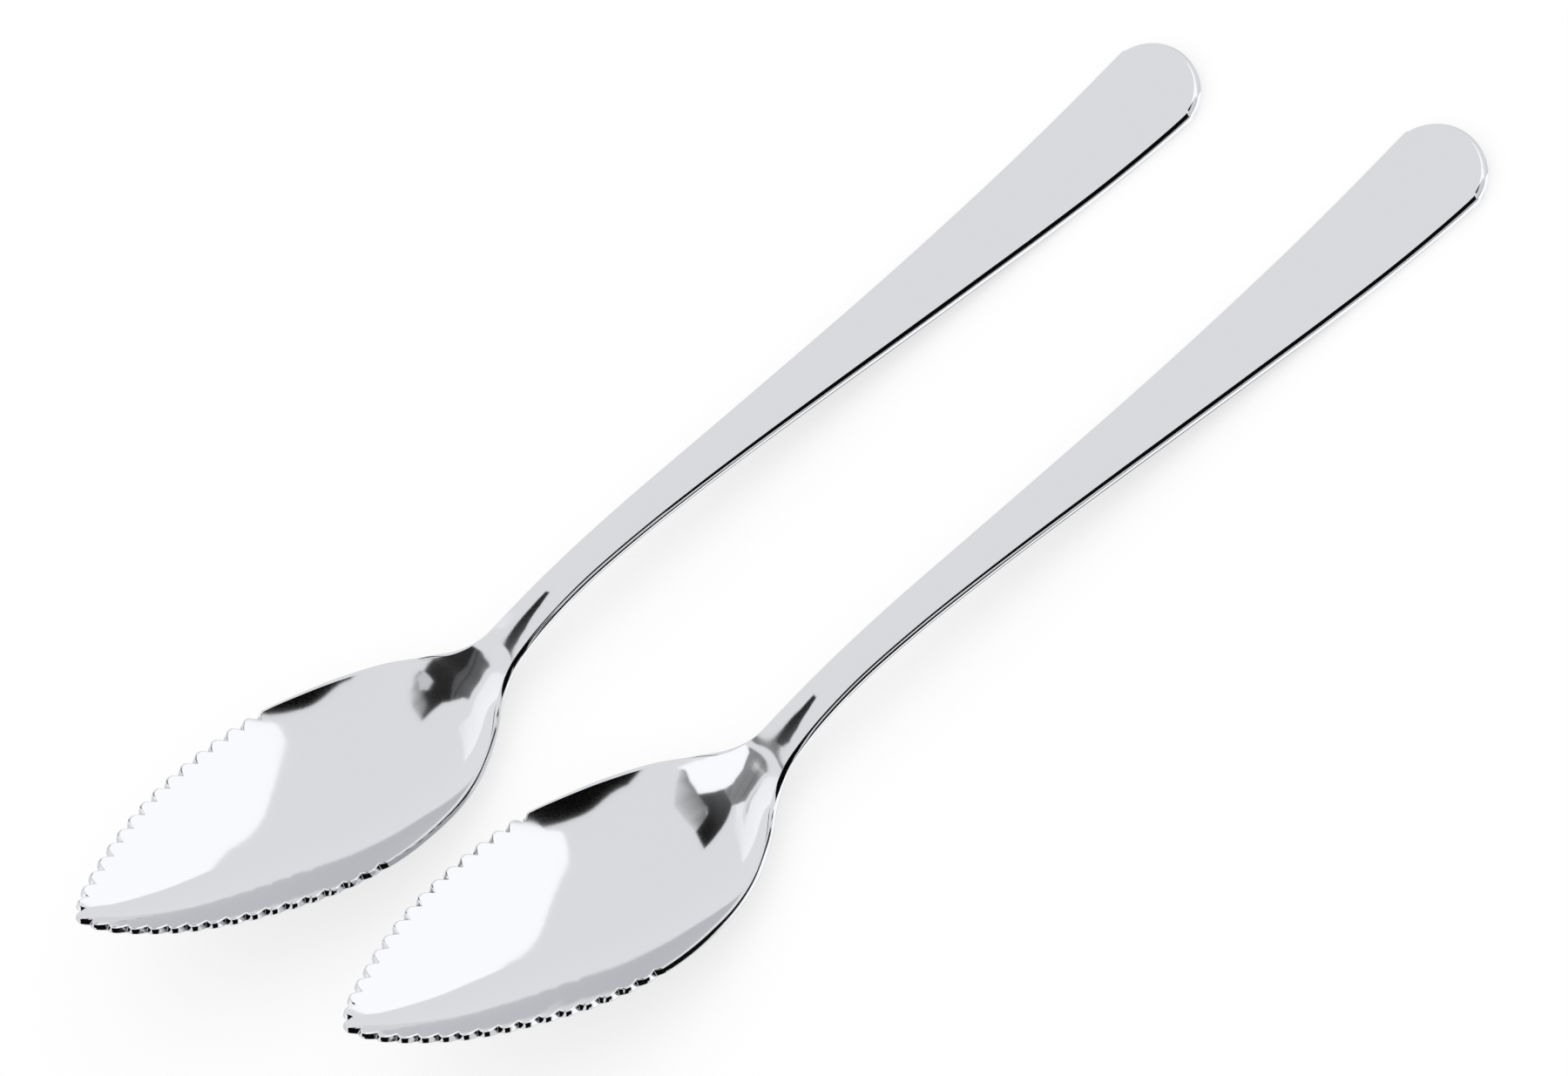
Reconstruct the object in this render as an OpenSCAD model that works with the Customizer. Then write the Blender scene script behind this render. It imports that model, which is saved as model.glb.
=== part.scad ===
// A pair of grapefruit spoons, each stamped from one piece of stainless steel.
// They lie side by side on a table, resting on the belly of the bowl and on the end of the handle.

/* [Bowl] */
// Length of the bowl, from its tip to the neck
bowl_length = 62; // [50:1:74]
// Width of the bowl across its rim
bowl_width = 35.2; // [26:0.2:42]
// Depth of the bowl below its rim
bowl_depth = 5.3; // [3:0.1:8]
// Height of the bowl's tip above the table
tip_rise = 20.3; // [14:0.1:26]
// Thickness of the bowl's wall
bowl_wall = 0.9; // [0.6:0.1:1.4]

/* [Teeth] */
// Number of notches along each side of the rim
notch_count = 16; // [6:1:18]
// Distance from one notch to the next, along the rim
notch_pitch = 2.53; // [1.8:0.01:2.8]
// Depth of a notch, from the top of a tooth to its root
notch_depth = 1; // [0.4:0.05:1.3]
// Width of a notch where it meets the rim
notch_mouth = 2; // [1:0.1:2.2]
// Width of the single tooth at the tip
tip_tooth = 3.05; // [2.6:0.05:4.5]

/* [Handle] */
// Length of the handle, from the neck to its end
handle_length = 118; // [90:1:140]
// Width of the handle at its waist, close to the neck
waist_width = 6.4; // [4:0.1:9]
// Width of the handle at its rounded end
handle_width = 16.8; // [11:0.2:22]
// Length of the handle's rounded end
end_rounding = 6.5; // [4:0.5:11]
// Height of the handle's arch above its end
arch_rise = 5.7; // [3:0.1:12]
// Thickness of the neck at its edges
neck_thickness = 0.9; // [0.8:0.1:2]
// Extra thickness along the middle of the neck's underside
neck_crown = 0.7; // [0:0.1:1.5]
// How far the neck's top falls from its middle to its edges
neck_round = 0.25; // [0:0.05:0.6]
// Thickness of the handle at its end
handle_thickness = 1.3; // [1:0.1:2]
// Bevel on the edges of the handle
handle_bevel = 0.4; // [0.1:0.05:0.4]
// Bevel on the edges of the bowl
rim_bevel = 0.25; // [0.1:0.05:0.4]

/* [Pair] */
// Distance across the pair, from one spoon's centre line to the other's at the tips
pair_spacing = 45.3; // [44:0.1:80]
// How far the front spoon is drawn back towards the handles
pair_shift = 17.9; // [0:0.1:40]
// Small angle between the two spoons, in degrees
pair_angle = 0.43; // [-1:0.01:1]

/* [Hidden] */

steel = [0.82, 0.82, 0.84];

// Outline of the bowl from tip to neck: shares of bowl_length, and of half of bowl_width
bowl_outline_shares = [
    [0, 0], [0.006, 0.067], [0.033, 0.22], [0.087, 0.4], [0.16, 0.594],
    [0.25, 0.766], [0.36, 0.91], [0.46, 0.987], [0.55, 1], [0.64, 0.957],
    [0.73, 0.872], [0.81, 0.733], [0.88, 0.533], [0.94, 0.34], [1, 0.23]
];

// Outline of the handle: shares of handle_length, and of the growth from waist to end
handle_outline_shares = [
    [0.035, 0.06], [0.08, 0.013], [0.14, 0], [0.25, 0.048], [0.35, 0.123],
    [0.45, 0.23], [0.55, 0.358], [0.65, 0.511], [0.75, 0.687], [0.85, 0.867]
];

// Height of the bowl's centre line: shares of bowl_length, and of tip_rise above the belly
bowl_spine_shares = [
    [0, 1], [0.065, 0.817], [0.145, 0.644], [0.24, 0.484], [0.32, 0.365], [0.43, 0.217],
    [0.53, 0.109], [0.61, 0.041], [0.68, 0.011], [0.74, 0], [0.8, 0.011], [0.87, 0.047], [0.935, 0.114]
];

// Height of the handle's top along its centre line: shares of handle_length and of arch_rise
handle_spine_shares = [
    [0, 0.577], [0.035, 0.777], [0.07, 0.9], [0.115, 0.98], [0.16, 1], [0.22, 0.965], [0.28, 0.88],
    [0.34, 0.777], [0.41, 0.645], [0.48, 0.507], [0.54, 0.39], [0.61, 0.268], [0.68, 0.162], [0.75, 0.072],
    [0.82, 0.012], [0.88, 0], [0.94, 0.03], [1, 0.1]
];

// Depth of the hollow below the rim: shares of bowl_length and of bowl_depth
hollow_shares = [
    [0, 0], [0.065, 0.3], [0.145, 0.565], [0.24, 0.775], [0.32, 0.89], [0.43, 0.98],
    [0.53, 1], [0.61, 0.945], [0.68, 0.83], [0.74, 0.69], [0.81, 0.5], [0.87, 0.33], [0.935, 0.17], [1, 0.07]
];

// Length over which the last of the hollow runs out into the neck
hollow_runout = 8;

// Shape of the hollow across the bowl: 1 gives an even curve, and more a rim that flares out
hollow_flare = 1.35;
back_flare = 1;

// Where the flare of the toothed rim begins to fade, and where it has faded, as shares of the bowl's length
flare_end_share = 0.36;
back_flare_share = 0.66;

// Where the bowl is widest, as a share of its length
widest_share = 0.55;

// Where the steel changes from the bowl's wall to the neck, and from the neck to the handle
wall_end_share = 0.78;
neck_start_share = 0.88;
neck_end_share = 0.15;
taper_end_share = 0.6;

// How far the mesh lines fan out at the tip, in the back of the bowl and at the handle's end
tip_fan = 1;
back_fan = 0.3;
end_fan = 0.85;

// Places of the mesh lines across half of the spoon, as shares of the half width
row_shares = [0, 0.25, 0.5, 0.72, 0.89, 1];

// Shape of a notch: its curve from mouth to root, and how far from the root its middle mesh lines stand
notch_curve = 1.35;

// The notch nearest the tip is this share of the full depth, and the next ones grow to it
tip_notch_share = 0.8;
grown_notches = 6;
notch_side_share = 0.22;

// Distances between mesh lines along the rim: at the tip, the bowl's back, the handle and its end
tip_step = 0.4;
back_step = 2.2;
handle_step = 5.5;
end_step = 1.5;

// Turn between the points of the handle's rounded end, in degrees
end_turn = 15;

// Step for slopes, small beside every other size
slope_parts = 20;
slope_step = bowl_wall / slope_parts;

bowl_half = bowl_width / 2;
waist_half = waist_width / 2;
end_half = handle_width / 2;
spoon_length = bowl_length + handle_length;

// Blend from 0 to 1 as x goes from a to b, with a soft start and end
function ease(x, a, b) =
    let (t = min(1, max(0, (x - a) / (b - a))))
    t * t * (3 - 2 * t);

// Smooth curve through a list of [x, value] knots
function slope_at(k, i) =
    let (a = max(0, i - 1), b = min(len(k) - 1, i + 1))
    (k[b][1] - k[a][1]) / (k[b][0] - k[a][0]);

function span_at(k, x, i = 0) = (i >= len(k) - 2 || x < k[i + 1][0]) ? i : span_at(k, x, i + 1);

function curve(k, x) =
    let (
        i = span_at(k, x),
        h = k[i + 1][0] - k[i][0],
        t = min(1, max(0, (x - k[i][0]) / h)),
        rise = k[i + 1][1] - k[i][1],
        a = slope_at(k, i) * h,
        b = slope_at(k, i + 1) * h
    )
    k[i][1] + a * t + (3 * rise - 2 * a - b) * t * t + (a + b - 2 * rise) * t * t * t;

// Outline of half a spoon, as points from the tip to the handle's end
outline_knots = concat(
    [for (p = bowl_outline_shares) [p[0] * bowl_length, p[1] * bowl_half]],
    [for (p = handle_outline_shares)
        [bowl_length + p[0] * handle_length, waist_half + p[1] * (end_half - waist_half)]],
    [for (a = [0 : end_turn : 90]) [spoon_length - end_rounding + end_rounding * sin(a), end_half * cos(a)]]
);
outline_last = len(outline_knots) - 1;

function outline_knot(i) =
    i < 0 ? [outline_knots[1][0], -outline_knots[1][1]] :
    i > outline_last ? [outline_knots[outline_last - 1][0], -outline_knots[outline_last - 1][1]] :
    outline_knots[i];

function outline(u) =
    let (
        i = min(outline_last - 1, max(0, floor(u))),
        t = u - i,
        a = outline_knot(i - 1),
        b = outline_knot(i),
        c = outline_knot(i + 1),
        d = outline_knot(i + 2)
    )
    b + t * (c - a) / 2 + t * t * (2 * a - 5 * b + 4 * c - d) / 2 + t * t * t * (3 * b - a - 3 * c + d) / 2;

// Distance travelled along the rim, as a table from distance to place on the outline
travel_steps = 12;
travel = [for (
    i = 0, s = 0;
    i <= outline_last * travel_steps;
    s = s + norm(outline((i + 1) / travel_steps) - outline(i / travel_steps)), i = i + 1
) [s, i / travel_steps]];
rim_length = travel[len(travel) - 1][0];
bowl_rim_length = lookup(len(bowl_outline_shares) - 1, [for (p = travel) [p[1], p[0]]]);
end_rim_length = lookup(outline_last - 90 / end_turn, [for (p = travel) [p[1], p[0]]]);

// Half of the spoon's width at x
half_widths = [for (p = travel) outline(p[1])];

function half_width(x) = lookup(x, half_widths);

// Heights of the centre line, of the rim above it, and of the whole top surface
spine_knots = concat(
    [for (p = bowl_spine_shares) [p[0] * bowl_length, bowl_wall + p[1] * (tip_rise - bowl_wall)]],
    [for (p = handle_spine_shares) [bowl_length + p[0] * handle_length, handle_thickness + p[1] * arch_rise]]
);
hollow_knots = concat(
    [for (p = hollow_shares) [p[0] * bowl_length, p[1] * bowl_depth]],
    [[bowl_length + hollow_runout, 0], [spoon_length, 0]]
);

function spine_z(x) = curve(spine_knots, x);

function rim_rise(x) = max(0, curve(hollow_knots, x));

// Share of the neck's shape at x: 0 in the bowl, 1 at the waist and 0 at the handle's end
function neck_share(x) =
    ease(x, neck_start_share * bowl_length, bowl_length)
    - ease(x, bowl_length + neck_end_share * handle_length, bowl_length + taper_end_share * handle_length);

function flare_at(x) =
    hollow_flare
    + (back_flare - hollow_flare) * ease(x, flare_end_share * bowl_length, back_flare_share * bowl_length);

function top_point(x, y) =
    let (g = pow(min(1, abs(y) / max(half_width(x), slope_step)), 2), flare = flare_at(x))
    [x, y, spine_z(x) + rim_rise(x) * g * (flare + (1 - flare) * g) - neck_round * neck_share(x) * g];

function unit(v) = v / norm(v);

// Direction square to the top surface
function top_normal(x, y) =
    let (
        along = top_point(x + slope_step, y) - top_point(x - slope_step, y),
        across = top_point(x, y + slope_step) - top_point(x, y - slope_step)
    )
    unit(cross(along, across));

// One mesh line across half the spoon, at distance s along the rim
function fan(x, turn) =
    x < widest_share * bowl_length ? tip_fan :
    x < bowl_length ? back_fan :
    turn < 0 ? end_fan : 0;

function mesh_line(s) =
    let (
        u = lookup(s, travel),
        e = 1 / travel_steps,
        rim = outline(u),
        run = outline(min(outline_last, u + e)) - outline(max(0, u - e)),
        turn = rim[1] * run[1] / max(run[0], slope_step),
        foot_x = rim[0] + fan(rim[0], turn) * turn
    )
    [rim, [foot_x, 0]];

// Place on a mesh line, at share f of the way from the centre line to the rim
function line_place(line, f) = line[1] + f * (line[0] - line[1]);

// Depth of the notches at distance s along the rim
function notch_at(s) =
    let (
        first = tip_tooth / 2,
        k = min(notch_count - 1, max(0, round((s - first) / notch_pitch))),
        q = abs(s - first - k * notch_pitch) / (notch_mouth / 2)
    )
    q >= 1 ? 0 :
    notch_depth * (tip_notch_share + (1 - tip_notch_share) * ease(k, 0, grown_notches)) * pow(1 - q, notch_curve);

// Thickness of the steel at x, and at share f of the half width
function thickness(x, f) =
    let (
        to_neck = ease(x, wall_end_share * bowl_length, bowl_length),
        to_end = ease(x, bowl_length + neck_end_share * handle_length, bowl_length + taper_end_share * handle_length)
    )
    bowl_wall * (1 - to_neck) + neck_thickness * (to_neck - to_end) + handle_thickness * to_end
    + neck_crown * (to_neck - to_end) * (1 - f * f);

// Bevel of the edges at x
function bevel_at(x) = rim_bevel + (handle_bevel - rim_bevel) * ease(x, neck_start_share * bowl_length, bowl_length);

// One closed loop of points round the steel at distance s along the rim
function half_loop(s) =
    let (
        line = mesh_line(s),
        half = norm(line[0] - line[1]),
        bevel = bevel_at(line[0][0]),
        notched = 1 - notch_at(s) / half,
        inner = notched - bevel / half,
        tops = [for (r = row_shares)
            let (p = line_place(line, r * inner))
            [top_point(p[0], p[1]), top_normal(p[0], p[1]), thickness(line[0][0], r * inner)]],
        rim = line_place(line, notched),
        edge = top_point(rim[0], rim[1]),
        out = tops[len(tops) - 1][1],
        wall = thickness(line[0][0], 1)
    )
    concat(
        [for (t = tops) t[0]],
        [edge - out * bevel, edge - out * (wall - bevel)],
        [for (i = [len(tops) - 1 : -1 : 0]) tops[i][0] - tops[i][1] * tops[i][2]]
    );

function loop(s) =
    let (half = half_loop(s), n = len(half))
    concat(half, [for (i = [n - 2 : -1 : 1]) [half[i][0], -half[i][1], half[i][2]]]);

// Places along the rim where the mesh lines stand: four to a notch, then wider apart
teeth_end = tip_tooth / 2 + (notch_count - 0.5) * notch_pitch;
shoulder = notch_mouth * notch_side_share;
back_count = ceil((bowl_rim_length - teeth_end) / back_step);
handle_count = ceil((end_rim_length - bowl_rim_length) / handle_step);
end_count = ceil((rim_length - end_rim_length) / end_step);
stations = concat(
    [tip_step, 2 * tip_step],
    [for (k = [0 : notch_count - 1]) let (s = tip_tooth / 2 + k * notch_pitch)
        each [s - shoulder, s, s + shoulder, s + notch_pitch / 2]],
    [for (i = [1 : back_count]) teeth_end + i * (bowl_rim_length - teeth_end) / back_count],
    [for (i = [1 : handle_count]) bowl_rim_length + i * (end_rim_length - bowl_rim_length) / handle_count],
    [for (i = [1 : end_count]) end_rim_length + i * (rim_length - tip_step - end_rim_length) / end_count]
);

spoon_loops = [for (s = stations) loop(s)];
spoon_points = [for (l = spoon_loops) each l];

// Faces of the spoon: triangles between neighbouring loops, and a cap at each end
ring = len(spoon_loops[0]);
rings = len(spoon_loops);
spoon_faces = concat(
    [for (j = [0 : rings - 2], i = [0 : ring - 1])
        let (a = j * ring + i, b = j * ring + (i + 1) % ring)
        each [[a, b, b + ring], [a, b + ring, a + ring]]],
    [[for (i = [ring - 1 : -1 : 0]) i]],
    [[for (i = [0 : ring - 1]) (rings - 1) * ring + i]]
);

// Where the front spoon lies beside the rear one, and the middle of the pair
function front_place(p) = [
    pair_shift + p[0] * cos(pair_angle) - p[1] * sin(pair_angle),
    -pair_spacing + p[0] * sin(pair_angle) + p[1] * cos(pair_angle),
    p[2]
];
pair_points = concat(spoon_points, [for (p = spoon_points) front_place(p)]);
pair_low = [for (i = [0 : 2]) min([for (p = pair_points) p[i]])];
pair_high = [for (i = [0 : 2]) max([for (p = pair_points) p[i]])];
pair_middle = [(pair_low[0] + pair_high[0]) / 2, (pair_low[1] + pair_high[1]) / 2, pair_low[2]];

module spoon() {
    polyhedron(points = spoon_points, faces = spoon_faces, convexity = 6);
}

module rear_spoon() {
    color(steel) translate(-pair_middle) spoon();
}

module front_spoon() {
    color(steel)
        translate(-pair_middle)
            translate([pair_shift, -pair_spacing, 0])
                rotate([0, 0, pair_angle])
                    spoon();
}

rear_spoon();
front_spoon();
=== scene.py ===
from math import cos, radians, sin

import bmesh
import bpy
import numpy as np
from mathutils import Matrix, Vector


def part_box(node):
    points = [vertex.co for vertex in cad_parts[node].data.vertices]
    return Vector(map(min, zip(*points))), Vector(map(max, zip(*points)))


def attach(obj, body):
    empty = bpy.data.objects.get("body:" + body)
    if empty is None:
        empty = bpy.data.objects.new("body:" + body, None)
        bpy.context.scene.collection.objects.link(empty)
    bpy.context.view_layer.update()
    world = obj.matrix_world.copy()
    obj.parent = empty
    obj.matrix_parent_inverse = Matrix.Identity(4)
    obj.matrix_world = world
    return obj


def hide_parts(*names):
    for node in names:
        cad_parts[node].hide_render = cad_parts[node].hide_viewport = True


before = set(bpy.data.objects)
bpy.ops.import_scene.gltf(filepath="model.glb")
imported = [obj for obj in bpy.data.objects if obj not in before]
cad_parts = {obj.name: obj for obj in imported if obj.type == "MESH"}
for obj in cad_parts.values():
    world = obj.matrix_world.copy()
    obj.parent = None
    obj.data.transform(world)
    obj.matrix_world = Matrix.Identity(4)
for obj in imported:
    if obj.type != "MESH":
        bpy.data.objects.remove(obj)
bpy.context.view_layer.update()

mm = 0.001
scene = bpy.context.scene

# One spoon, in millimetres: tip at x = 0, table at z = 0
spoonSize = {
    "bowlLength": 62.0,
    "bowlWidth": 35.2,
    "bowlDepth": 5.3,
    "tipRise": 20.3,
    "bowlWall": 0.9,
    "handleLength": 118.0,
    "waistWidth": 6.4,
    "handleWidth": 16.8,
    "endRounding": 6.5,
    "archRise": 5.7,
    "neckThickness": 0.9,
    "neckCrown": 0.7,      # extra thickness along the middle of the neck's underside
    "neckRound": 0.25,     # how far the neck's top falls from its middle to its edges
    "handleThickness": 1.3,
    "hollowFlare": 1.35,   # 1 is an even curve across the bowl, more flares the rim
    "backFlare": 1.0,      # the same behind the teeth
    "hollowRunout": 8.0,   # length over which the hollow fades into the neck
}

# The bevels and the slant along the edge, in millimetres
edgeSize = {
    "rimBevel": 0.28,      # how far the bowl's upper bevel reaches in from the edge
    "rimBevelDrop": 0.14,  # how far down it goes
    "handleBevel": 0.48,   # the same along the handle, as far down as in
    "bevelGrowth": 12.0,   # stretch of rim behind the teeth over which the bevel widens
    "lowBevel": 0.12,      # the bowl's bevel at the underside
    "handleLowBevel": 0.25,
    "corner": 0.07,        # rounding where a bevel meets the faces beside it
    "face": (38, 58),      # nearly flat part of a bevel, between these angles in degrees
    "slant": 0.05,         # how far the smooth rim's edge leans out towards the underside
    "slantStart": (-0.5, 1.0),   # the slant comes in between these distances from the last tooth
    "slantFade": 16.0,     # and fades out over this stretch
}

# The serrated rim, in millimetres
teeth = {
    "count": 16,
    "pitch": 2.53,
    "depth": 1.0,
    "mouth": 2.0,
    "tipTooth": 3.05,
    "curve": 1.35,         # shape of a notch from its mouth to its root
    "tipShare": 0.8,       # the notch nearest the tip is this share of the full depth
    "grown": 6,            # number of notches over which they grow to it
    "lowShare": 0.4,       # a notch's depth at the underside, as a share of its depth at the top
}

# Where the front spoon lies beside the rear one, in millimetres and degrees
pairPlace = {"shift": 17.9, "spacing": 45.3, "angle": 0.43}

# Shares of the sizes above, as in the construction: [along, across] or [along, height]
bowlOutline = [
    [0, 0], [0.006, 0.067], [0.033, 0.22], [0.087, 0.4], [0.16, 0.594],
    [0.25, 0.766], [0.36, 0.91], [0.46, 0.987], [0.55, 1], [0.64, 0.957],
    [0.73, 0.872], [0.81, 0.733], [0.88, 0.533], [0.94, 0.34], [1, 0.23],
]
handleOutline = [
    [0.035, 0.06], [0.08, 0.013], [0.14, 0], [0.25, 0.048], [0.35, 0.123],
    [0.45, 0.23], [0.55, 0.358], [0.65, 0.511], [0.75, 0.687], [0.85, 0.867],
]
bowlSpine = [
    [0, 1], [0.065, 0.817], [0.145, 0.644], [0.24, 0.484], [0.32, 0.365], [0.43, 0.217],
    [0.53, 0.109], [0.61, 0.041], [0.68, 0.011], [0.74, 0], [0.8, 0.011], [0.87, 0.047], [0.935, 0.114],
]
handleSpine = [
    [0, 0.577], [0.035, 0.777], [0.07, 0.9], [0.115, 0.98], [0.16, 1], [0.22, 0.965], [0.28, 0.88],
    [0.34, 0.777], [0.41, 0.645], [0.48, 0.507], [0.54, 0.39], [0.61, 0.268], [0.68, 0.162], [0.75, 0.072],
    [0.82, 0.012], [0.88, 0], [0.94, 0.03], [1, 0.1],
]
hollowDepth = [
    [0, 0], [0.065, 0.3], [0.145, 0.565], [0.24, 0.775], [0.32, 0.89], [0.43, 0.98],
    [0.53, 1], [0.61, 0.945], [0.68, 0.83], [0.74, 0.69], [0.81, 0.5], [0.87, 0.33], [0.935, 0.17], [1, 0.07],
]

# Where one form passes into the next, as shares of the bowl's length or, for the last, the handle's
passage = {
    "flareToBack": (0.36, 0.66),
    "wallToNeck": 0.78,    # the neck's thickness comes in from here to the end of the bowl
    "rimToNeck": 0.88,     # so do its rounded top and the handle's bevels, from here
    "neckToHandle": (0.15, 0.6),
}

# How finely the mesh is divided
meshPlan = {
    "outlineSteps": 60,    # from knot to knot in the outline's table
    "arcStep": 15,         # degrees between the knots around the handle's end
    "tipLines": 4,         # mesh lines ahead of the first notch
    "notchLines": 20,      # across each notch, an even number
    "sideLines": 220,      # along the smooth rim and the handle
    "endLines": 60,        # around the handle's end
    "endStretch": 14.0,    # length of rim that these cover, in millimetres
    "rowsAcross": 30,      # from the middle of the spoon to its bevel
    "bevelRows": 8,
    "bevelSteps": 180,     # in the section from which these rows are picked
    "slopeReach": 0.05,    # distance to each side at which the rim's direction is taken, in millimetres
    "leastRun": 0.002,     # keeps that direction finite at the spoon's ends
    "leastHalf": 0.001,    # keeps the shares across the spoon finite there
    "leanLoss": 0.7,       # mesh lines meet the rim squarely at the front, and lose this share of their lean
    "leanChange": (0.4, 0.7),   # between these shares of the bowl's length
    "endLean": 0.85,       # share of the lean around the handle's end
    "mergeWithin": 0.002,  # points closer than this become one, in millimetres
}

spoonLength = spoonSize["bowlLength"] + spoonSize["handleLength"]
firstNotch = teeth["tipTooth"] / 2   # distances along the rim from the tip
teethEnd = firstNotch + (teeth["count"] - 0.5) * teeth["pitch"]


def ease(x, low, high):   # soft step from 0 at low to 1 at high
    t = np.clip((x - low) / (high - low), 0, 1)
    return t * t * (3 - 2 * t)


def smoothCurve(knots, x):   # cubic through [x, value] knots
    knots = np.asarray(knots, float)
    x = np.asarray(x, float)
    last = len(knots) - 1
    before = np.maximum(0, np.arange(last + 1) - 1)
    after = np.minimum(last, np.arange(last + 1) + 1)
    slope = (knots[after, 1] - knots[before, 1]) / (knots[after, 0] - knots[before, 0])
    i = np.clip(np.searchsorted(knots[:, 0], x, side="right") - 1, 0, last - 1)
    step = knots[i + 1, 0] - knots[i, 0]
    t = np.clip((x - knots[i, 0]) / step, 0, 1)
    rise = knots[i + 1, 1] - knots[i, 1]
    a = slope[i] * step
    b = slope[i + 1] * step
    return knots[i, 1] + a * t + (3 * rise - 2 * a - b) * t**2 + (a + b - 2 * rise) * t**3


def outlineKnots():   # half of the outline, from the tip to the handle's end
    s = spoonSize
    bowlHalf, waistHalf, endHalf = s["bowlWidth"] / 2, s["waistWidth"] / 2, s["handleWidth"] / 2
    knots = [[x * s["bowlLength"], y * bowlHalf] for x, y in bowlOutline]
    knots += [[s["bowlLength"] + x * s["handleLength"], waistHalf + y * (endHalf - waistHalf)]
              for x, y in handleOutline]
    knots += [[spoonLength - s["endRounding"] * (1 - sin(radians(a))), endHalf * cos(radians(a))]
              for a in range(0, 91, meshPlan["arcStep"])]
    return np.array(knots)


def makeOutline():   # table of the outline: distance along it, x and y
    knots = outlineKnots()
    mirror = np.array([1, -1])
    padded = np.vstack([knots[1] * mirror, knots, knots[-2] * mirror])
    u = np.linspace(0, len(knots) - 1, (len(knots) - 1) * meshPlan["outlineSteps"] + 1)
    i = np.minimum(u.astype(int), len(knots) - 2)
    t = (u - i)[:, None]
    a, b, c, d = padded[i], padded[i + 1], padded[i + 2], padded[i + 3]
    p = b + t * (c - a) / 2 + t**2 * (2 * a - 5 * b + 4 * c - d) / 2 + t**3 * (3 * b - a - 3 * c + d) / 2
    run = np.concatenate([[0], np.cumsum(np.hypot(*np.diff(p, axis=0).T))])
    return run, p[:, 0], p[:, 1]


rimRun, rimX, rimY = makeOutline()
rimLength = rimRun[-1]


def spineHeight(x):
    s = spoonSize
    knots = [[a * s["bowlLength"], s["bowlWall"] + b * (s["tipRise"] - s["bowlWall"])] for a, b in bowlSpine]
    knots += [[s["bowlLength"] + a * s["handleLength"], s["handleThickness"] + b * s["archRise"]]
              for a, b in handleSpine]
    return smoothCurve(knots, x)


def rimRise(x):
    s = spoonSize
    knots = [[a * s["bowlLength"], b * s["bowlDepth"]] for a, b in hollowDepth]
    knots += [[s["bowlLength"] + s["hollowRunout"], 0], [spoonLength, 0]]
    return np.maximum(0, smoothCurve(knots, x))


def pastBowl(x):   # 0 in the bowl, 1 from the neck on
    bowl = spoonSize["bowlLength"]
    return ease(x, passage["rimToNeck"] * bowl, bowl)


def pastNeck(x):   # 0 up to the neck, 1 in the wide part of the handle
    bowl, handle = spoonSize["bowlLength"], spoonSize["handleLength"]
    start, end = passage["neckToHandle"]
    return ease(x, bowl + start * handle, bowl + end * handle)


def neckRounding(x):   # how far the neck's top falls to its edges
    return spoonSize["neckRound"] * (pastBowl(x) - pastNeck(x))


def topHeight(x, y):   # height of the spoon's upper face
    s = spoonSize
    half = np.maximum(np.interp(x, rimX, rimY), meshPlan["leastHalf"])
    g = np.minimum(1, np.abs(y) / half)**2
    start, end = passage["flareToBack"]
    toBack = ease(x, start * s["bowlLength"], end * s["bowlLength"])
    flare = s["hollowFlare"] + (s["backFlare"] - s["hollowFlare"]) * toBack
    return spineHeight(x) + rimRise(x) * g * (flare + (1 - flare) * g) - neckRounding(x) * g


def topNormal(x, y, step=0.02):
    slopeX = (topHeight(x + step, y) - topHeight(x - step, y)) / (2 * step)
    slopeY = (topHeight(x, y + step) - topHeight(x, y - step)) / (2 * step)
    normal = np.stack([-slopeX, -slopeY, np.ones_like(slopeX)], -1)
    return normal / np.linalg.norm(normal, axis=-1, keepdims=True)


def steelThickness(x, f):   # f is 0 at the middle and 1 at the edge
    s = spoonSize
    toNeck = ease(x, passage["wallToNeck"] * s["bowlLength"], s["bowlLength"])
    toEnd = pastNeck(x)
    neck = toNeck - toEnd
    plain = s["bowlWall"] * (1 - toNeck) + s["neckThickness"] * neck + s["handleThickness"] * toEnd
    return plain + s["neckCrown"] * neck * (1 - f * f)


def notchDepth(run):
    k = np.clip(np.round((run - firstNotch) / teeth["pitch"]), 0, teeth["count"] - 1)
    q = np.abs(run - firstNotch - k * teeth["pitch"]) / (teeth["mouth"] / 2)
    full = teeth["depth"] * (teeth["tipShare"] + (1 - teeth["tipShare"]) * ease(k, 0, teeth["grown"]))
    return full * np.clip(1 - q, 0, 1)**teeth["curve"]


def meshStations():   # distances along the rim at which the mesh lines stand
    m = meshPlan
    pitch = teeth["pitch"]
    stations = list(np.linspace(0, firstNotch - pitch / 2, m["tipLines"])[:-1])
    for k in range(teeth["count"]):
        start = firstNotch + (k - 0.5) * pitch
        stations += [start + pitch * i / m["notchLines"] for i in range(m["notchLines"])]
    endStart = rimLength - m["endStretch"]
    stations += list(np.linspace(teethEnd, endStart, m["sideLines"])[:-1])
    stations += list(np.linspace(endStart, rimLength, m["endLines"]))
    return np.array(stations)


def meshFeet(stations, x, y):   # where on the spoon's middle line each mesh line starts
    m = meshPlan
    ahead = np.minimum(rimLength, stations + m["slopeReach"])
    behind = np.maximum(0, stations - m["slopeReach"])
    runX = np.interp(ahead, rimRun, rimX) - np.interp(behind, rimRun, rimX)
    runY = np.interp(ahead, rimRun, rimY) - np.interp(behind, rimRun, rimY)
    lean = y * runY / np.maximum(runX, m["leastRun"])
    lean[0], lean[-1] = lean[1], lean[-2]
    bowl = spoonSize["bowlLength"]
    start, end = m["leanChange"]
    share = 1 - m["leanLoss"] * ease(x, start * bowl, end * bowl)
    share = np.where(x < bowl, share, np.where(lean < 0, m["endLean"], 0))
    return np.maximum.accumulate(x + share * lean)


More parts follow.
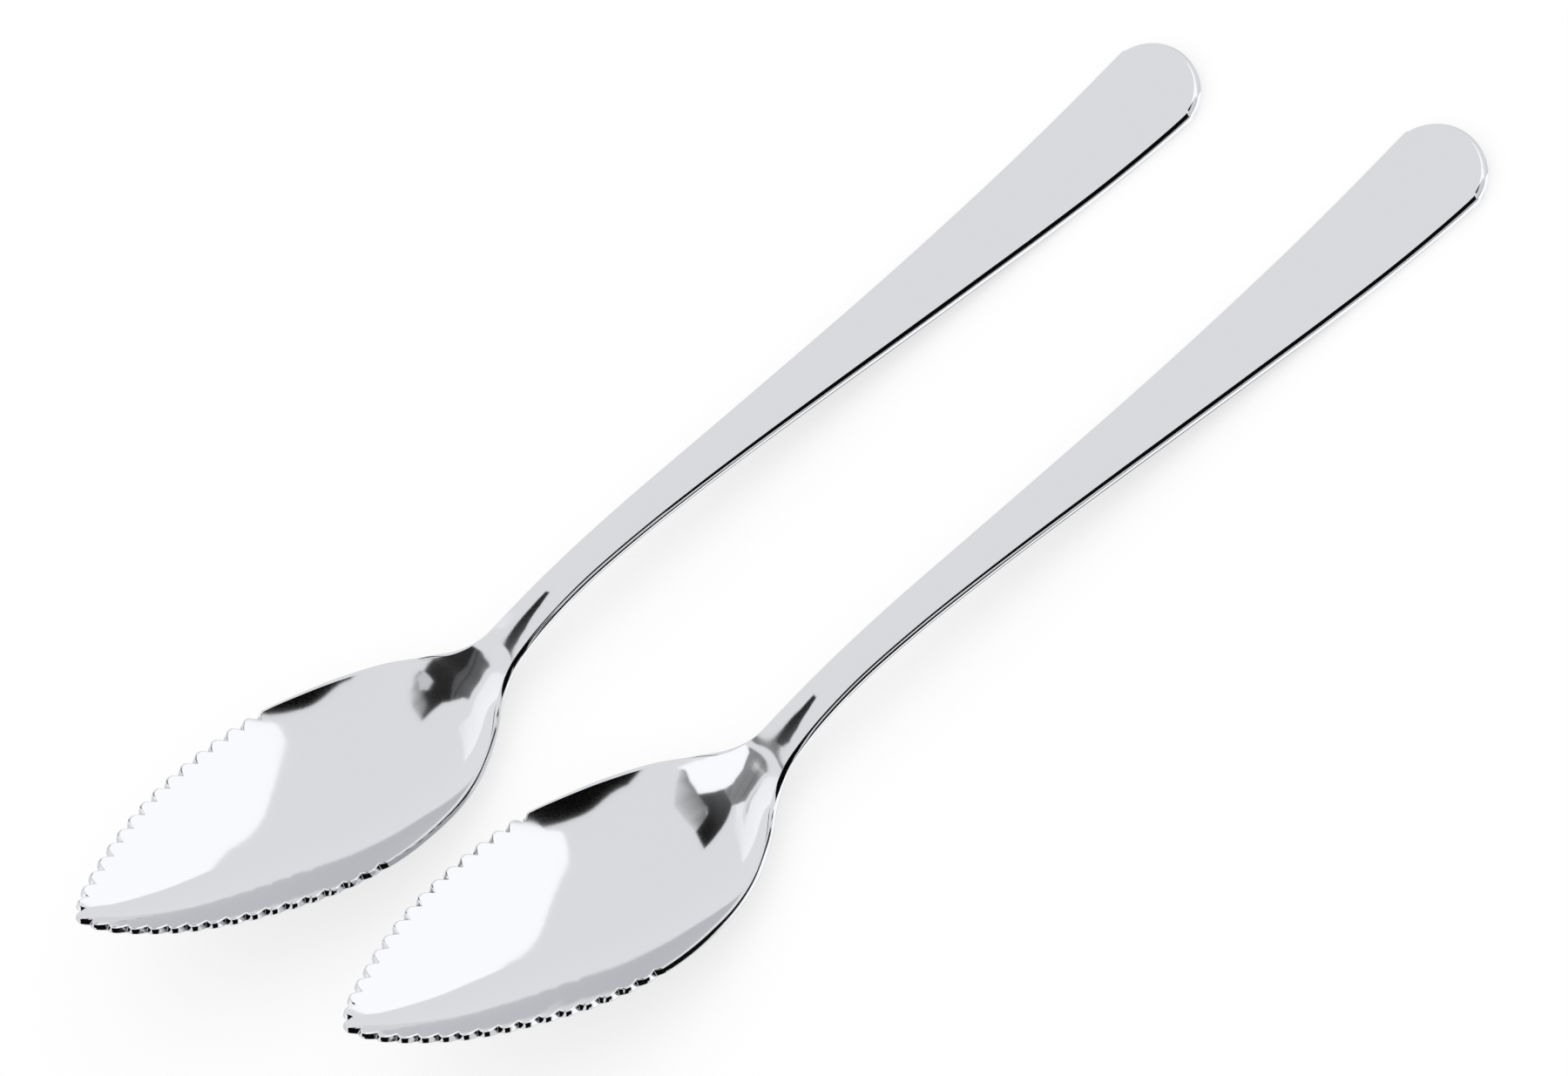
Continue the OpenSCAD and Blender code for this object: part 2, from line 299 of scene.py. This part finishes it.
def bevelShape():   # section of a soft bevel of size 1: how far out and how far down at each row
    angles = np.radians(np.linspace(0, 90, meshPlan["bevelSteps"] + 1))
    turn = angles[1] - angles[0]
    middle = (angles[1:] + angles[:-1]) / 2
    start, end = edgeSize["face"]
    corner = (middle < radians(start)) | (middle > radians(end))
    tight = edgeSize["corner"] / edgeSize["handleBevel"]
    cornerOut = (np.where(corner, tight, 0) * np.cos(middle)).sum() * turn
    flat = (1 - cornerOut) / (np.where(corner, 0, np.cos(middle)).sum() * turn)
    bend = np.where(corner, tight, flat) * turn
    out = np.concatenate([[0], np.cumsum(bend * np.cos(middle))])
    down = np.concatenate([[0], np.cumsum(bend * np.sin(middle))])
    pick = np.linspace(0, meshPlan["bevelSteps"], meshPlan["bevelRows"] + 1).astype(int)[1:]
    return list(zip(out[pick], down[pick]))


def spoonRows():   # one half of the spoon, row by row from the middle of its top around the edge to below
    e = edgeSize
    stations = meshStations()
    x = np.interp(stations, rimRun, rimX)
    y = np.interp(stations, rimRun, rimY)
    footX = meshFeet(stations, x, y)
    half = np.hypot(x - footX, y)
    toNeck = pastBowl(x)
    notch = notchDepth(stations)
    growth = ease(stations, teethEnd, teethEnd + e["bevelGrowth"])
    bevel = e["rimBevel"] + (e["handleBevel"] - e["rimBevel"]) * growth
    drop = (e["rimBevelDrop"] + (e["handleBevel"] - e["rimBevelDrop"]) * toNeck)[:, None]
    lowBevel = (e["lowBevel"] + (e["handleLowBevel"] - e["lowBevel"]) * toNeck)[:, None]
    start, full = e["slantStart"]
    slant = e["slant"] * (ease(stations, teethEnd + start, teethEnd + full)
                          - ease(stations, teethEnd, teethEnd + e["slantFade"]))
    out = (bevel + slant + (1 - teeth["lowShare"]) * notch)[:, None]   # reach of the edge at the underside
    notched = 1 - notch / half
    inner = notched - bevel / half
    bevel = bevel[:, None]

    def place(f):
        return footX + f * (x - footX), f * y

    tops = []
    for share in np.sin(np.linspace(0, np.pi / 2, meshPlan["rowsAcross"])):
        f = share * inner
        px, py = place(f)
        point = np.stack([px, py, topHeight(px, py)], -1)
        tops.append((point, topNormal(px, py), steelThickness(x, f)[:, None]))
    rows = [point for point, normal, thick in tops]
    point, normal, wall = tops[-1]
    edgeX, edgeY = place(notched)
    outward = np.stack([edgeX, edgeY, topHeight(edgeX, edgeY)], -1) - point
    outward /= np.linalg.norm(outward, axis=1, keepdims=True)
    shape = bevelShape()
    rows += [point + bevel * outward * across - drop * normal * down for across, down in shape]
    rows += [point - normal * (wall - lowBevel * down) + outward * (out - lowBevel * (1 - across))
             for across, down in reversed(shape)]
    rows += [point - normal * thick for point, normal, thick in reversed(tops)]
    rows = np.array(rows)
    rows[:, [0, -1], 1] = 0
    return rows


def spoonMesh(name):
    rows = spoonRows()
    mirrored = rows[-2:0:-1] * [1, -1, 1]
    ring = np.concatenate([rows, mirrored])
    index = np.arange(ring.shape[0] * ring.shape[1]).reshape(ring.shape[:2])
    a = index[:, 1:]
    b = np.roll(a, -1, axis=0)
    faces = np.stack([a, b, b - 1, a - 1], -1).reshape(-1, 4)
    mesh = bpy.data.meshes.new(name)
    mesh.from_pydata((ring.reshape(-1, 3) * mm).tolist(), [], faces.tolist())
    bm = bmesh.new()
    bm.from_mesh(mesh)
    bmesh.ops.remove_doubles(bm, verts=bm.verts, dist=meshPlan["mergeWithin"] * mm)
    bmesh.ops.recalc_face_normals(bm, faces=bm.faces)
    bm.to_mesh(mesh)
    bm.free()
    mesh.shade_smooth()
    piece = bpy.data.objects.new(name, mesh)
    scene.collection.objects.link(piece)
    return piece


def linear(code):   # sRGB hex to the linear colour that the shader takes
    parts = [int(code[i:i + 2], 16) / 255 for i in (0, 2, 4)]
    return [p / 12.92 if p <= 0.04045 else ((p + 0.055) / 1.055)**2.4 for p in parts] + [1]


white = linear("ffffff")


def addNode(tree, kind, settings=None, links=None):   # a node with its values, fed by other nodes' outputs
    node = tree.nodes.new(kind)
    for key, value in (settings or {}).items():
        if key in node.inputs:
            node.inputs[key].default_value = value
        else:
            setattr(node, key, value)
    for key, source in (links or {}).items():
        tree.links.new(source, node.inputs[key])
    return node


def newMaterial(name):
    material = bpy.data.materials.new(name)
    material.use_nodes = True
    material.node_tree.nodes.clear()
    return material, material.node_tree


steelLook = {"colour": "cdced1", "roughness": 0.07}


def makeSteel():   # polished stainless steel: sharp reflections, a little softened, in a neutral grey
    material, tree = newMaterial("polishedStainlessSteel")
    shader = addNode(tree, "ShaderNodeBsdfPrincipled", {
        "Base Color": linear(steelLook["colour"]),
        "Metallic": 1.0,
        "Roughness": steelLook["roughness"],
    })
    addNode(tree, "ShaderNodeOutputMaterial", {}, {"Surface": shader.outputs["BSDF"]})
    return material


print("spoons")
polishedSteel = makeSteel()
rear = spoonMesh("rearSpoon")
front = spoonMesh("frontSpoon")
rearLow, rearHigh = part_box("rear_spoon")
tipX, tipY = rearLow[0], (rearLow[1] + rearHigh[1]) / 2
rearPlace = Matrix.Translation((tipX, tipY, 0))
frontPlace = (Matrix.Translation((tipX + pairPlace["shift"] * mm, tipY - pairPlace["spacing"] * mm, 0))
              @ Matrix.Rotation(radians(pairPlace["angle"]), 4, "Z"))
for piece, place, node in ((rear, rearPlace, "rear_spoon"), (front, frontPlace, "front_spoon")):
    piece.data.transform(place)
    corners = np.array([v.co for v in piece.data.vertices])
    middle = (corners.min(0) + corners.max(0)) / 2
    nodeMiddle = (np.array(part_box(node)[0]) + np.array(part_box(node)[1])) / 2
    piece.data.transform(Matrix.Translation((nodeMiddle[0] - middle[0], nodeMiddle[1] - middle[1], 0)))
    piece.data.materials.append(polishedSteel)
    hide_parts(node)
    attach(piece, node)

print("studio cards")
# How bright each card is, where 1 is white: one number, or one for each corner
cardLevels = {
    "dark": 0.004,
    "pale": 1.13,          # and of the world around them
    "bright": 1.55,
    "cameraSide": 1.0,
    "blackFlag": [0.01, 0.01, 0.02, 0.03, 0.06, 0.08, 0.1, 0.14, 0.2, 0.12, 0.03, 0.01],
    "greyFlag": [0.95, 0.9, 0.22, 0.3],
    "backWindow": [1.4, 1.3, 1.2, 1.4, 1.5, 1.5],
    "brushedWall": 0.34,
    "bowlFlag": 0.02,
    "bowlEdge": [0.7, 0.9, 0.02, 0.02],
    "bowlBrush": 0.12,
    "bowlGap": 0.85,
    "neckFlag": [0.01, 0.01, 0.01, 0.02, 0.05, 0.08, 0.1, 0.12, 0.04],
    "neckBrush": 0.25,
    # level of the painted shadow under each handle, which only the steel mirrors
    "edgeShade": 0.35,
}

# Streaks of a brushed surface, in millimetres and degrees. Real brush lines are a few hundredths of a
# millimetre wide, too fine to show, so they are drawn as coarse as they need to be
wallBrush = {"length": 500, "width": 25, "turn": 33}
bowlBrush = {"length": 16.67, "width": 1.429, "turn": 20}
streakLook = {"detail": 3.0, "roughness": 0.6, "noiseRange": (0.3, 0.7), "levelRange": (0.25, 1.75)}

# A low card is clear to rays that skim it, as a lamp behind a grid is, so that the other spoon doesn't
# mirror it. The limit is 1 - sine of the lowest angle at which it is seen
lowCard = {"heights": (10 * mm, 100 * mm), "skimLimit": 0.53}


def streakedLevel(tree, level, brush):   # level with fine streaks across the card
    scale = (1 / (brush["length"] * mm), 1 / (brush["width"] * mm), 1)
    place = addNode(tree, "ShaderNodeTexCoord")
    turned = addNode(tree, "ShaderNodeMapping", {
        "Rotation": (0, 0, radians(brush["turn"])),
        "Scale": scale,
    }, {"Vector": place.outputs["Object"]})
    streaks = addNode(tree, "ShaderNodeTexNoise", {
        "Scale": 1.0,
        "Detail": streakLook["detail"],
        "Roughness": streakLook["roughness"],
    }, {"Vector": turned.outputs["Vector"]})
    spread = addNode(tree, "ShaderNodeMapRange", {
        "From Min": streakLook["noiseRange"][0],
        "From Max": streakLook["noiseRange"][1],
        "To Min": streakLook["levelRange"][0],
        "To Max": streakLook["levelRange"][1],
    }, {"Value": streaks.outputs["Fac"]})
    product = addNode(tree, "ShaderNodeMath", {"operation": "MULTIPLY"}, {
        0: level,
        1: spread.outputs["Result"],
    })
    return product.outputs["Value"]


def clearWhenSkimmed(tree, glow):
    angle = addNode(tree, "ShaderNodeLayerWeight", {"Blend": 0.5})
    skims = addNode(tree, "ShaderNodeMath", {"operation": "GREATER_THAN"}, {0: angle.outputs["Facing"]})
    skims.inputs[1].default_value = lowCard["skimLimit"]
    clear = addNode(tree, "ShaderNodeBsdfTransparent")
    mixed = addNode(tree, "ShaderNodeMixShader", {}, {
        "Fac": skims.outputs["Value"],
        1: glow,
        2: clear.outputs["BSDF"],
    })
    return mixed.outputs["Shader"]


def makeGlow(name, brush, low):   # an even glow, with its own level at each corner of the card
    material, tree = newMaterial(name)
    level = addNode(tree, "ShaderNodeAttribute", {"attribute_name": "level"}).outputs["Fac"]
    if brush:
        level = streakedLevel(tree, level, brush)
    glow = addNode(tree, "ShaderNodeEmission", {"Color": white}, {"Strength": level}).outputs["Emission"]
    if low:
        glow = clearWhenSkimmed(tree, glow)
    addNode(tree, "ShaderNodeOutputMaterial", {}, {"Surface": glow})
    return material


def addCard(name, corners, level, brush=None):   # a card that only the steel sees
    mesh = bpy.data.meshes.new(name)
    mesh.from_pydata(corners, [], [list(range(len(corners)))])
    levels = level if isinstance(level, list) else [level] * len(corners)
    mesh.attributes.new("level", "FLOAT", "POINT").data.foreach_set("value", levels)
    card = bpy.data.objects.new(name, mesh)
    scene.collection.objects.link(card)
    lowest, highest = lowCard["heights"]
    mesh.materials.append(makeGlow(name + "Glow", brush, lowest < corners[0][2] < highest))
    card.visible_camera = False
    card.visible_shadow = False
    card.visible_diffuse = False


def addStrip(name, outer, inner, level):   # a strip of cards between two rows of corners
    for k in range(len(outer) - 1):
        addCard(name + str(k + 1), [outer[k], outer[k + 1], inner[k + 1], inner[k]], level)


def highCorners(height, *shares):   # over the bowls at a height in metres, as shares of that height
    return [(x * height, y * height, height) for x, y in shares]


def uprightCorners(y, *places):   # x and z in metres
    return [(x, y, z) for x, z in places]


def lowCorners(height, *places, shift=(0, 0)):   # in millimetres
    return [((x + shift[0]) * mm, (y + shift[1]) * mm, height * mm) for x, y in places]


# High cards. Their corners are shares of the height, so a card can move up or down and look the same from the
# bowls, and a higher one lies behind a lower one
dark, pale, bright = cardLevels["dark"], cardLevels["pale"], cardLevels["bright"]
addCard("whitePanel", highCorners(
    1, (0.93, 1.27), (0.455, -0.06), (0.52, -0.1), (0.54, -0.35), (3.2, -0.9), (3.2, 2.15),
), bright)
addCard("cameraSideTop", highCorners(
    1.02, (-3, -0.06), (-0.02, -0.06), (0.05, -0.08), (0.15, -0.1), (0.3, -0.115), (3, -0.115), (3, -1.2),
    (-3, -1.2),
), dark)
addCard("cameraSideWall", uprightCorners(-1.2, (-3, 0.01), (3, 0.01), (3, 1.02), (-3, 1.02)), dark)
addCard("cameraSideStrip", uprightCorners(
    -1.15, (-0.15, 0.4), (3, 0.4), (3, 1), (0.8, 1), (0.6, 0.6), (-0.15, 0.6),
), cardLevels["cameraSide"])
addCard("cameraSideWindow", highCorners(
    1.01, (0.8, -1.13), (2.97, -1.13), (2.97, -0.45), (1.2, -0.45),
), cardLevels["cameraSide"])
addCard("blackFlag", highCorners(
    1.1, (-0.18, 1.06), (-0.2, 0.72), (-0.28, 0.7), (-0.31, 0.67), (-0.33, 0.6), (-0.34, 0.5),
    (-0.35, 0.42), (-0.48, 0.56), (-0.61, 0.66), (-0.58, 0.98), (-0.38, 1.05), (-0.28, 1.07),
), cardLevels["blackFlag"])
addStrip(
    "greyFlag",
    highCorners(1.12, (-0.43, 0.14), (-0.3, 0.2), (-0.19, 0.32), (-0.19, 0.5), (-0.2, 0.73)),
    highCorners(1.12, (-0.46, 0.18), (-0.39, 0.27), (-0.35, 0.43), (-0.34, 0.56), (-0.29, 0.7)),
    cardLevels["greyFlag"],
)
addCard("leftWindow", highCorners(
    1.13, (-0.42, 0.12), (-0.54, 0.16), (-0.66, 0.2), (-0.84, 0.32), (-0.86, 0.6), (-0.81, 0.78),
    (-0.76, 0.8), (-0.71, 0.75), (-0.6, 0.66), (-0.48, 0.56), (-0.35, 0.43), (-0.39, 0.27),
), bright)
addCard("backWindow", highCorners(
    1.2, (-0.8, 0.2), (-0.62, 1.1), (-0.45, 1.35), (-0.6, 3.5), (-4, 3.5), (-4, 0.2),
), cardLevels["backWindow"])
addCard("brushedWall", highCorners(
    1.14, (-0.59, 0.66), (-0.71, 0.75), (-0.76, 0.8), (-0.8, 0.76), (-0.84, 0.82), (-0.89, 1.06),
    (-0.95, 1.26), (-0.98, 1.46), (-0.95, 1.53), (-0.9, 1.46), (-0.76, 1.22), (-0.57, 0.98),
), cardLevels["brushedWall"], wallBrush)

# Low cards over the rear bowl and the necks, which hide the high ones there and give each its own reflection
addCard("rearBowlScreen", lowCorners(
    46, (-80, 42), (-72, 37), (-60, 37), (-55, 41), (-54, 66), (-58, 74), (-76, 93), (-86, 93),
), pale)
addCard("rearBowlFlag", lowCorners(
    45, (-59.4, 54.2), (-60.8, 55), (-63.3, 56.6), (-65.5, 60), (-72, 57), (-77, 55), (-77, 46),
    (-75.4, 43.6), (-71, 43), (-66.5, 43), (-64.5, 44.3), (-62, 46.6), (-61, 48.5),
), cardLevels["bowlFlag"])
addStrip(
    "rearBowlEdge",
    lowCorners(45, (-59.2, 54.2), (-59, 48), (-60, 44), (-62.5, 42), (-66.5, 42)),
    lowCorners(45, (-59.5, 54.2), (-61, 48.5), (-62, 46.6), (-64.5, 44.3), (-66.5, 43)),
    cardLevels["bowlEdge"],
)
addCard("rearBowlBrush", lowCorners(
    45, (-65.5, 60), (-67.1, 61.6), (-73.5, 69.4), (-77.6, 79), (-79, 78), (-78.4, 68), (-77.4, 60),
    (-77, 55), (-72, 57),
), cardLevels["bowlBrush"], bowlBrush)
addCard("rearBowlGap", lowCorners(
    44.8, (-63.3, 42.6), (-67, 42.8), (-66.8, 44.6), (-66, 47.2), (-62.4, 47.7), (-61, 45.4),
), cardLevels["bowlGap"])

neckCards = {
    "flagHeight": 20,
    "brushHeight": 20.1,
    "screenHeight": 20.5,
    "screen": [(-7, -5), (-7, -19), (-24, -17), (-30, -8), (-36, 0), (-30, 0), (-24, -3)],
    "shift": {"front": (0, 0), "rear": (-18, 45.3)},
    "front": [(-12.8, -10.3), (-12.8, -7.9), (-16.5, -7.5), (-22.9, -6.5), (-27, -6), (-26.4, -7.6),
              (-23.7, -10), (-20, -11.5), (-15.5, -11.3)],
    "rear": [(-10.9, -10.6), (-11.4, -8.4), (-16.1, -7.8), (-22.9, -6.6), (-27.5, -5.6), (-26.8, -7.8),
             (-23.2, -10.4), (-19.5, -12), (-14, -11.7)],
    "brush": [(-17, -6.8), (-22.8, -6), (-26.9, -5.3), (-29.6, -4.8), (-30, -5.6), (-26.2, -7.4),
              (-22.9, -7.6)],
}
for name, shift in neckCards["shift"].items():
    screen = lowCorners(neckCards["screenHeight"], *neckCards["screen"], shift=shift)
    flag = lowCorners(neckCards["flagHeight"], *neckCards[name], shift=shift)
    addCard(name + "NeckScreen", screen, pale)
    addCard(name + "NeckFlag", flag, cardLevels["neckFlag"])
streaked = lowCorners(neckCards["brushHeight"], *neckCards["brush"])
addCard("frontNeckBrush", streaked, cardLevels["neckBrush"], bowlBrush)

# Light table beside each spoon's near edge, and its darker part under the handle, which is a painted shadow,
# in millimetres
edgeCard = {
    "tipGap": 8.0,         # the cards start this far from the tip
    "endGap": 1.0,         # and end this far from the handle's end
    "stations": 60,
    "height": 0.3,
    "shadeHeight": 0.28,
    "shadeStart": 12.0,    # distance behind the bowl
    "contact": 0.1,        # an edge that is no higher than this touches the table
    "steepness": 47,       # of the rays that the near edge mirrors, in degrees
    "reach": {"rear": 9, "front": 60},
}


def addEdgeCards(name, place):
    c = edgeCard
    x = np.linspace(c["tipGap"], spoonLength - c["endGap"], c["stations"])
    half = np.interp(x, rimX, rimY)
    low = topHeight(x, half) - steelThickness(x, 1)
    fall = np.arctan(2 * neckRounding(x) / half)
    start = -half - np.maximum(0, low - c["contact"]) / np.tan(radians(c["steepness"]) + 2 * fall)
    handle = x > spoonSize["bowlLength"] + c["shadeStart"]

    def line(x, y, z):
        return [place @ Vector((a * mm, b * mm, z * mm)) for a, b in zip(x, y)]

    outer = line(x[::-1], start[::-1] - c["reach"][name], c["height"])
    addCard(name + "EdgeLight", line(x, start, c["height"]) + outer, bright)
    x, start = x[handle], start[handle]
    # the darker card is a painted shadow under the handle, seen only in the steel
    addCard(name + "EdgeShade", line(x, start, c["shadeHeight"]) + line(x[::-1], 0 * x, c["shadeHeight"]),
            cardLevels["edgeShade"])


addEdgeCards("rear", rearPlace)
addEdgeCards("front", frontPlace)

print("table and world")
tableLook = {
    "colour": "f4f4f4",
    "roughness": 0.9,
    "reach": 4.0,          # metres to each side
    "whiteShare": 0.65,    # part of the table's look that takes no shadow
}


def makeTable():   # matt white table top: plain white to the eye and in the steel, with a faint soft shadow
    material, tree = newMaterial("mattWhiteTable")
    shader = addNode(tree, "ShaderNodeBsdfPrincipled", {
        "Base Color": linear(tableLook["colour"]),
        "Roughness": tableLook["roughness"],
        "Specular IOR Level": 0.0,
    })
    plain = addNode(tree, "ShaderNodeEmission", {"Color": white, "Strength": 1.0})
    ray = addNode(tree, "ShaderNodeLightPath")
    seen = addNode(tree, "ShaderNodeMath", {"operation": "MAXIMUM"}, {
        0: ray.outputs["Is Camera Ray"],
        1: ray.outputs["Is Glossy Ray"],
    })
    share = addNode(tree, "ShaderNodeMath", {"operation": "MULTIPLY"}, {0: seen.outputs["Value"]})
    share.inputs[1].default_value = tableLook["whiteShare"]
    mixed = addNode(tree, "ShaderNodeMixShader", {}, {
        "Fac": share.outputs["Value"],
        1: shader.outputs["BSDF"],
        2: plain.outputs["Emission"],
    })
    addNode(tree, "ShaderNodeOutputMaterial", {}, {"Surface": mixed.outputs["Shader"]})
    return material


side = tableLook["reach"]
tableCorners = [(-side, -side, 0), (side, -side, 0), (side, side, 0), (-side, side, 0)]
tableMesh = bpy.data.meshes.new("table")
tableMesh.from_pydata(tableCorners, [], [(0, 1, 2, 3)])
tableMesh.materials.append(makeTable())
table = bpy.data.objects.new("table", tableMesh)
scene.collection.objects.link(table)

world = bpy.data.worlds.new("studioWorld")
scene.world = world
world.use_nodes = True
world.node_tree.nodes.clear()
air = addNode(world.node_tree, "ShaderNodeBackground", {"Color": white, "Strength": pale})
addNode(world.node_tree, "ShaderNodeOutputWorld", {}, {"Surface": air.outputs["Background"]})

print("camera")
cameraPlace = {            # metres and degrees, and millimetres for the lens and its sensor
    "target": (0.000835, 0.007907, 0),
    "distance": 1.2736,
    "elevation": 46.81,
    "azimuth": 0.657,
    "roll": 41.53,
    "lens": 227.64,
    "sensorWidth": 36,
    "farthest": 20,
}


def makeCamera():
    c = cameraPlace
    elevation, azimuth, roll = radians(c["elevation"]), radians(c["azimuth"]), radians(c["roll"])
    forward = Vector((sin(azimuth) * cos(elevation), cos(azimuth) * cos(elevation), -sin(elevation)))
    level = Vector((cos(azimuth), -sin(azimuth), 0))
    upright = level.cross(forward)
    right = level * cos(roll) - upright * sin(roll)
    up = upright * cos(roll) + level * sin(roll)
    data = bpy.data.cameras.new("studioCamera")
    data.sensor_fit = "HORIZONTAL"
    data.sensor_width = c["sensorWidth"]
    data.lens = c["lens"]
    data.clip_end = c["farthest"]
    camera = bpy.data.objects.new("studioCamera", data)
    scene.collection.objects.link(camera)
    place = Vector(c["target"]) - forward * c["distance"]
    rotation = Matrix((right, up, -forward)).transposed().to_4x4()
    camera.matrix_world = Matrix.Translation(place) @ rotation
    return camera


scene.camera = makeCamera()
scene.view_settings.view_transform = "Standard"
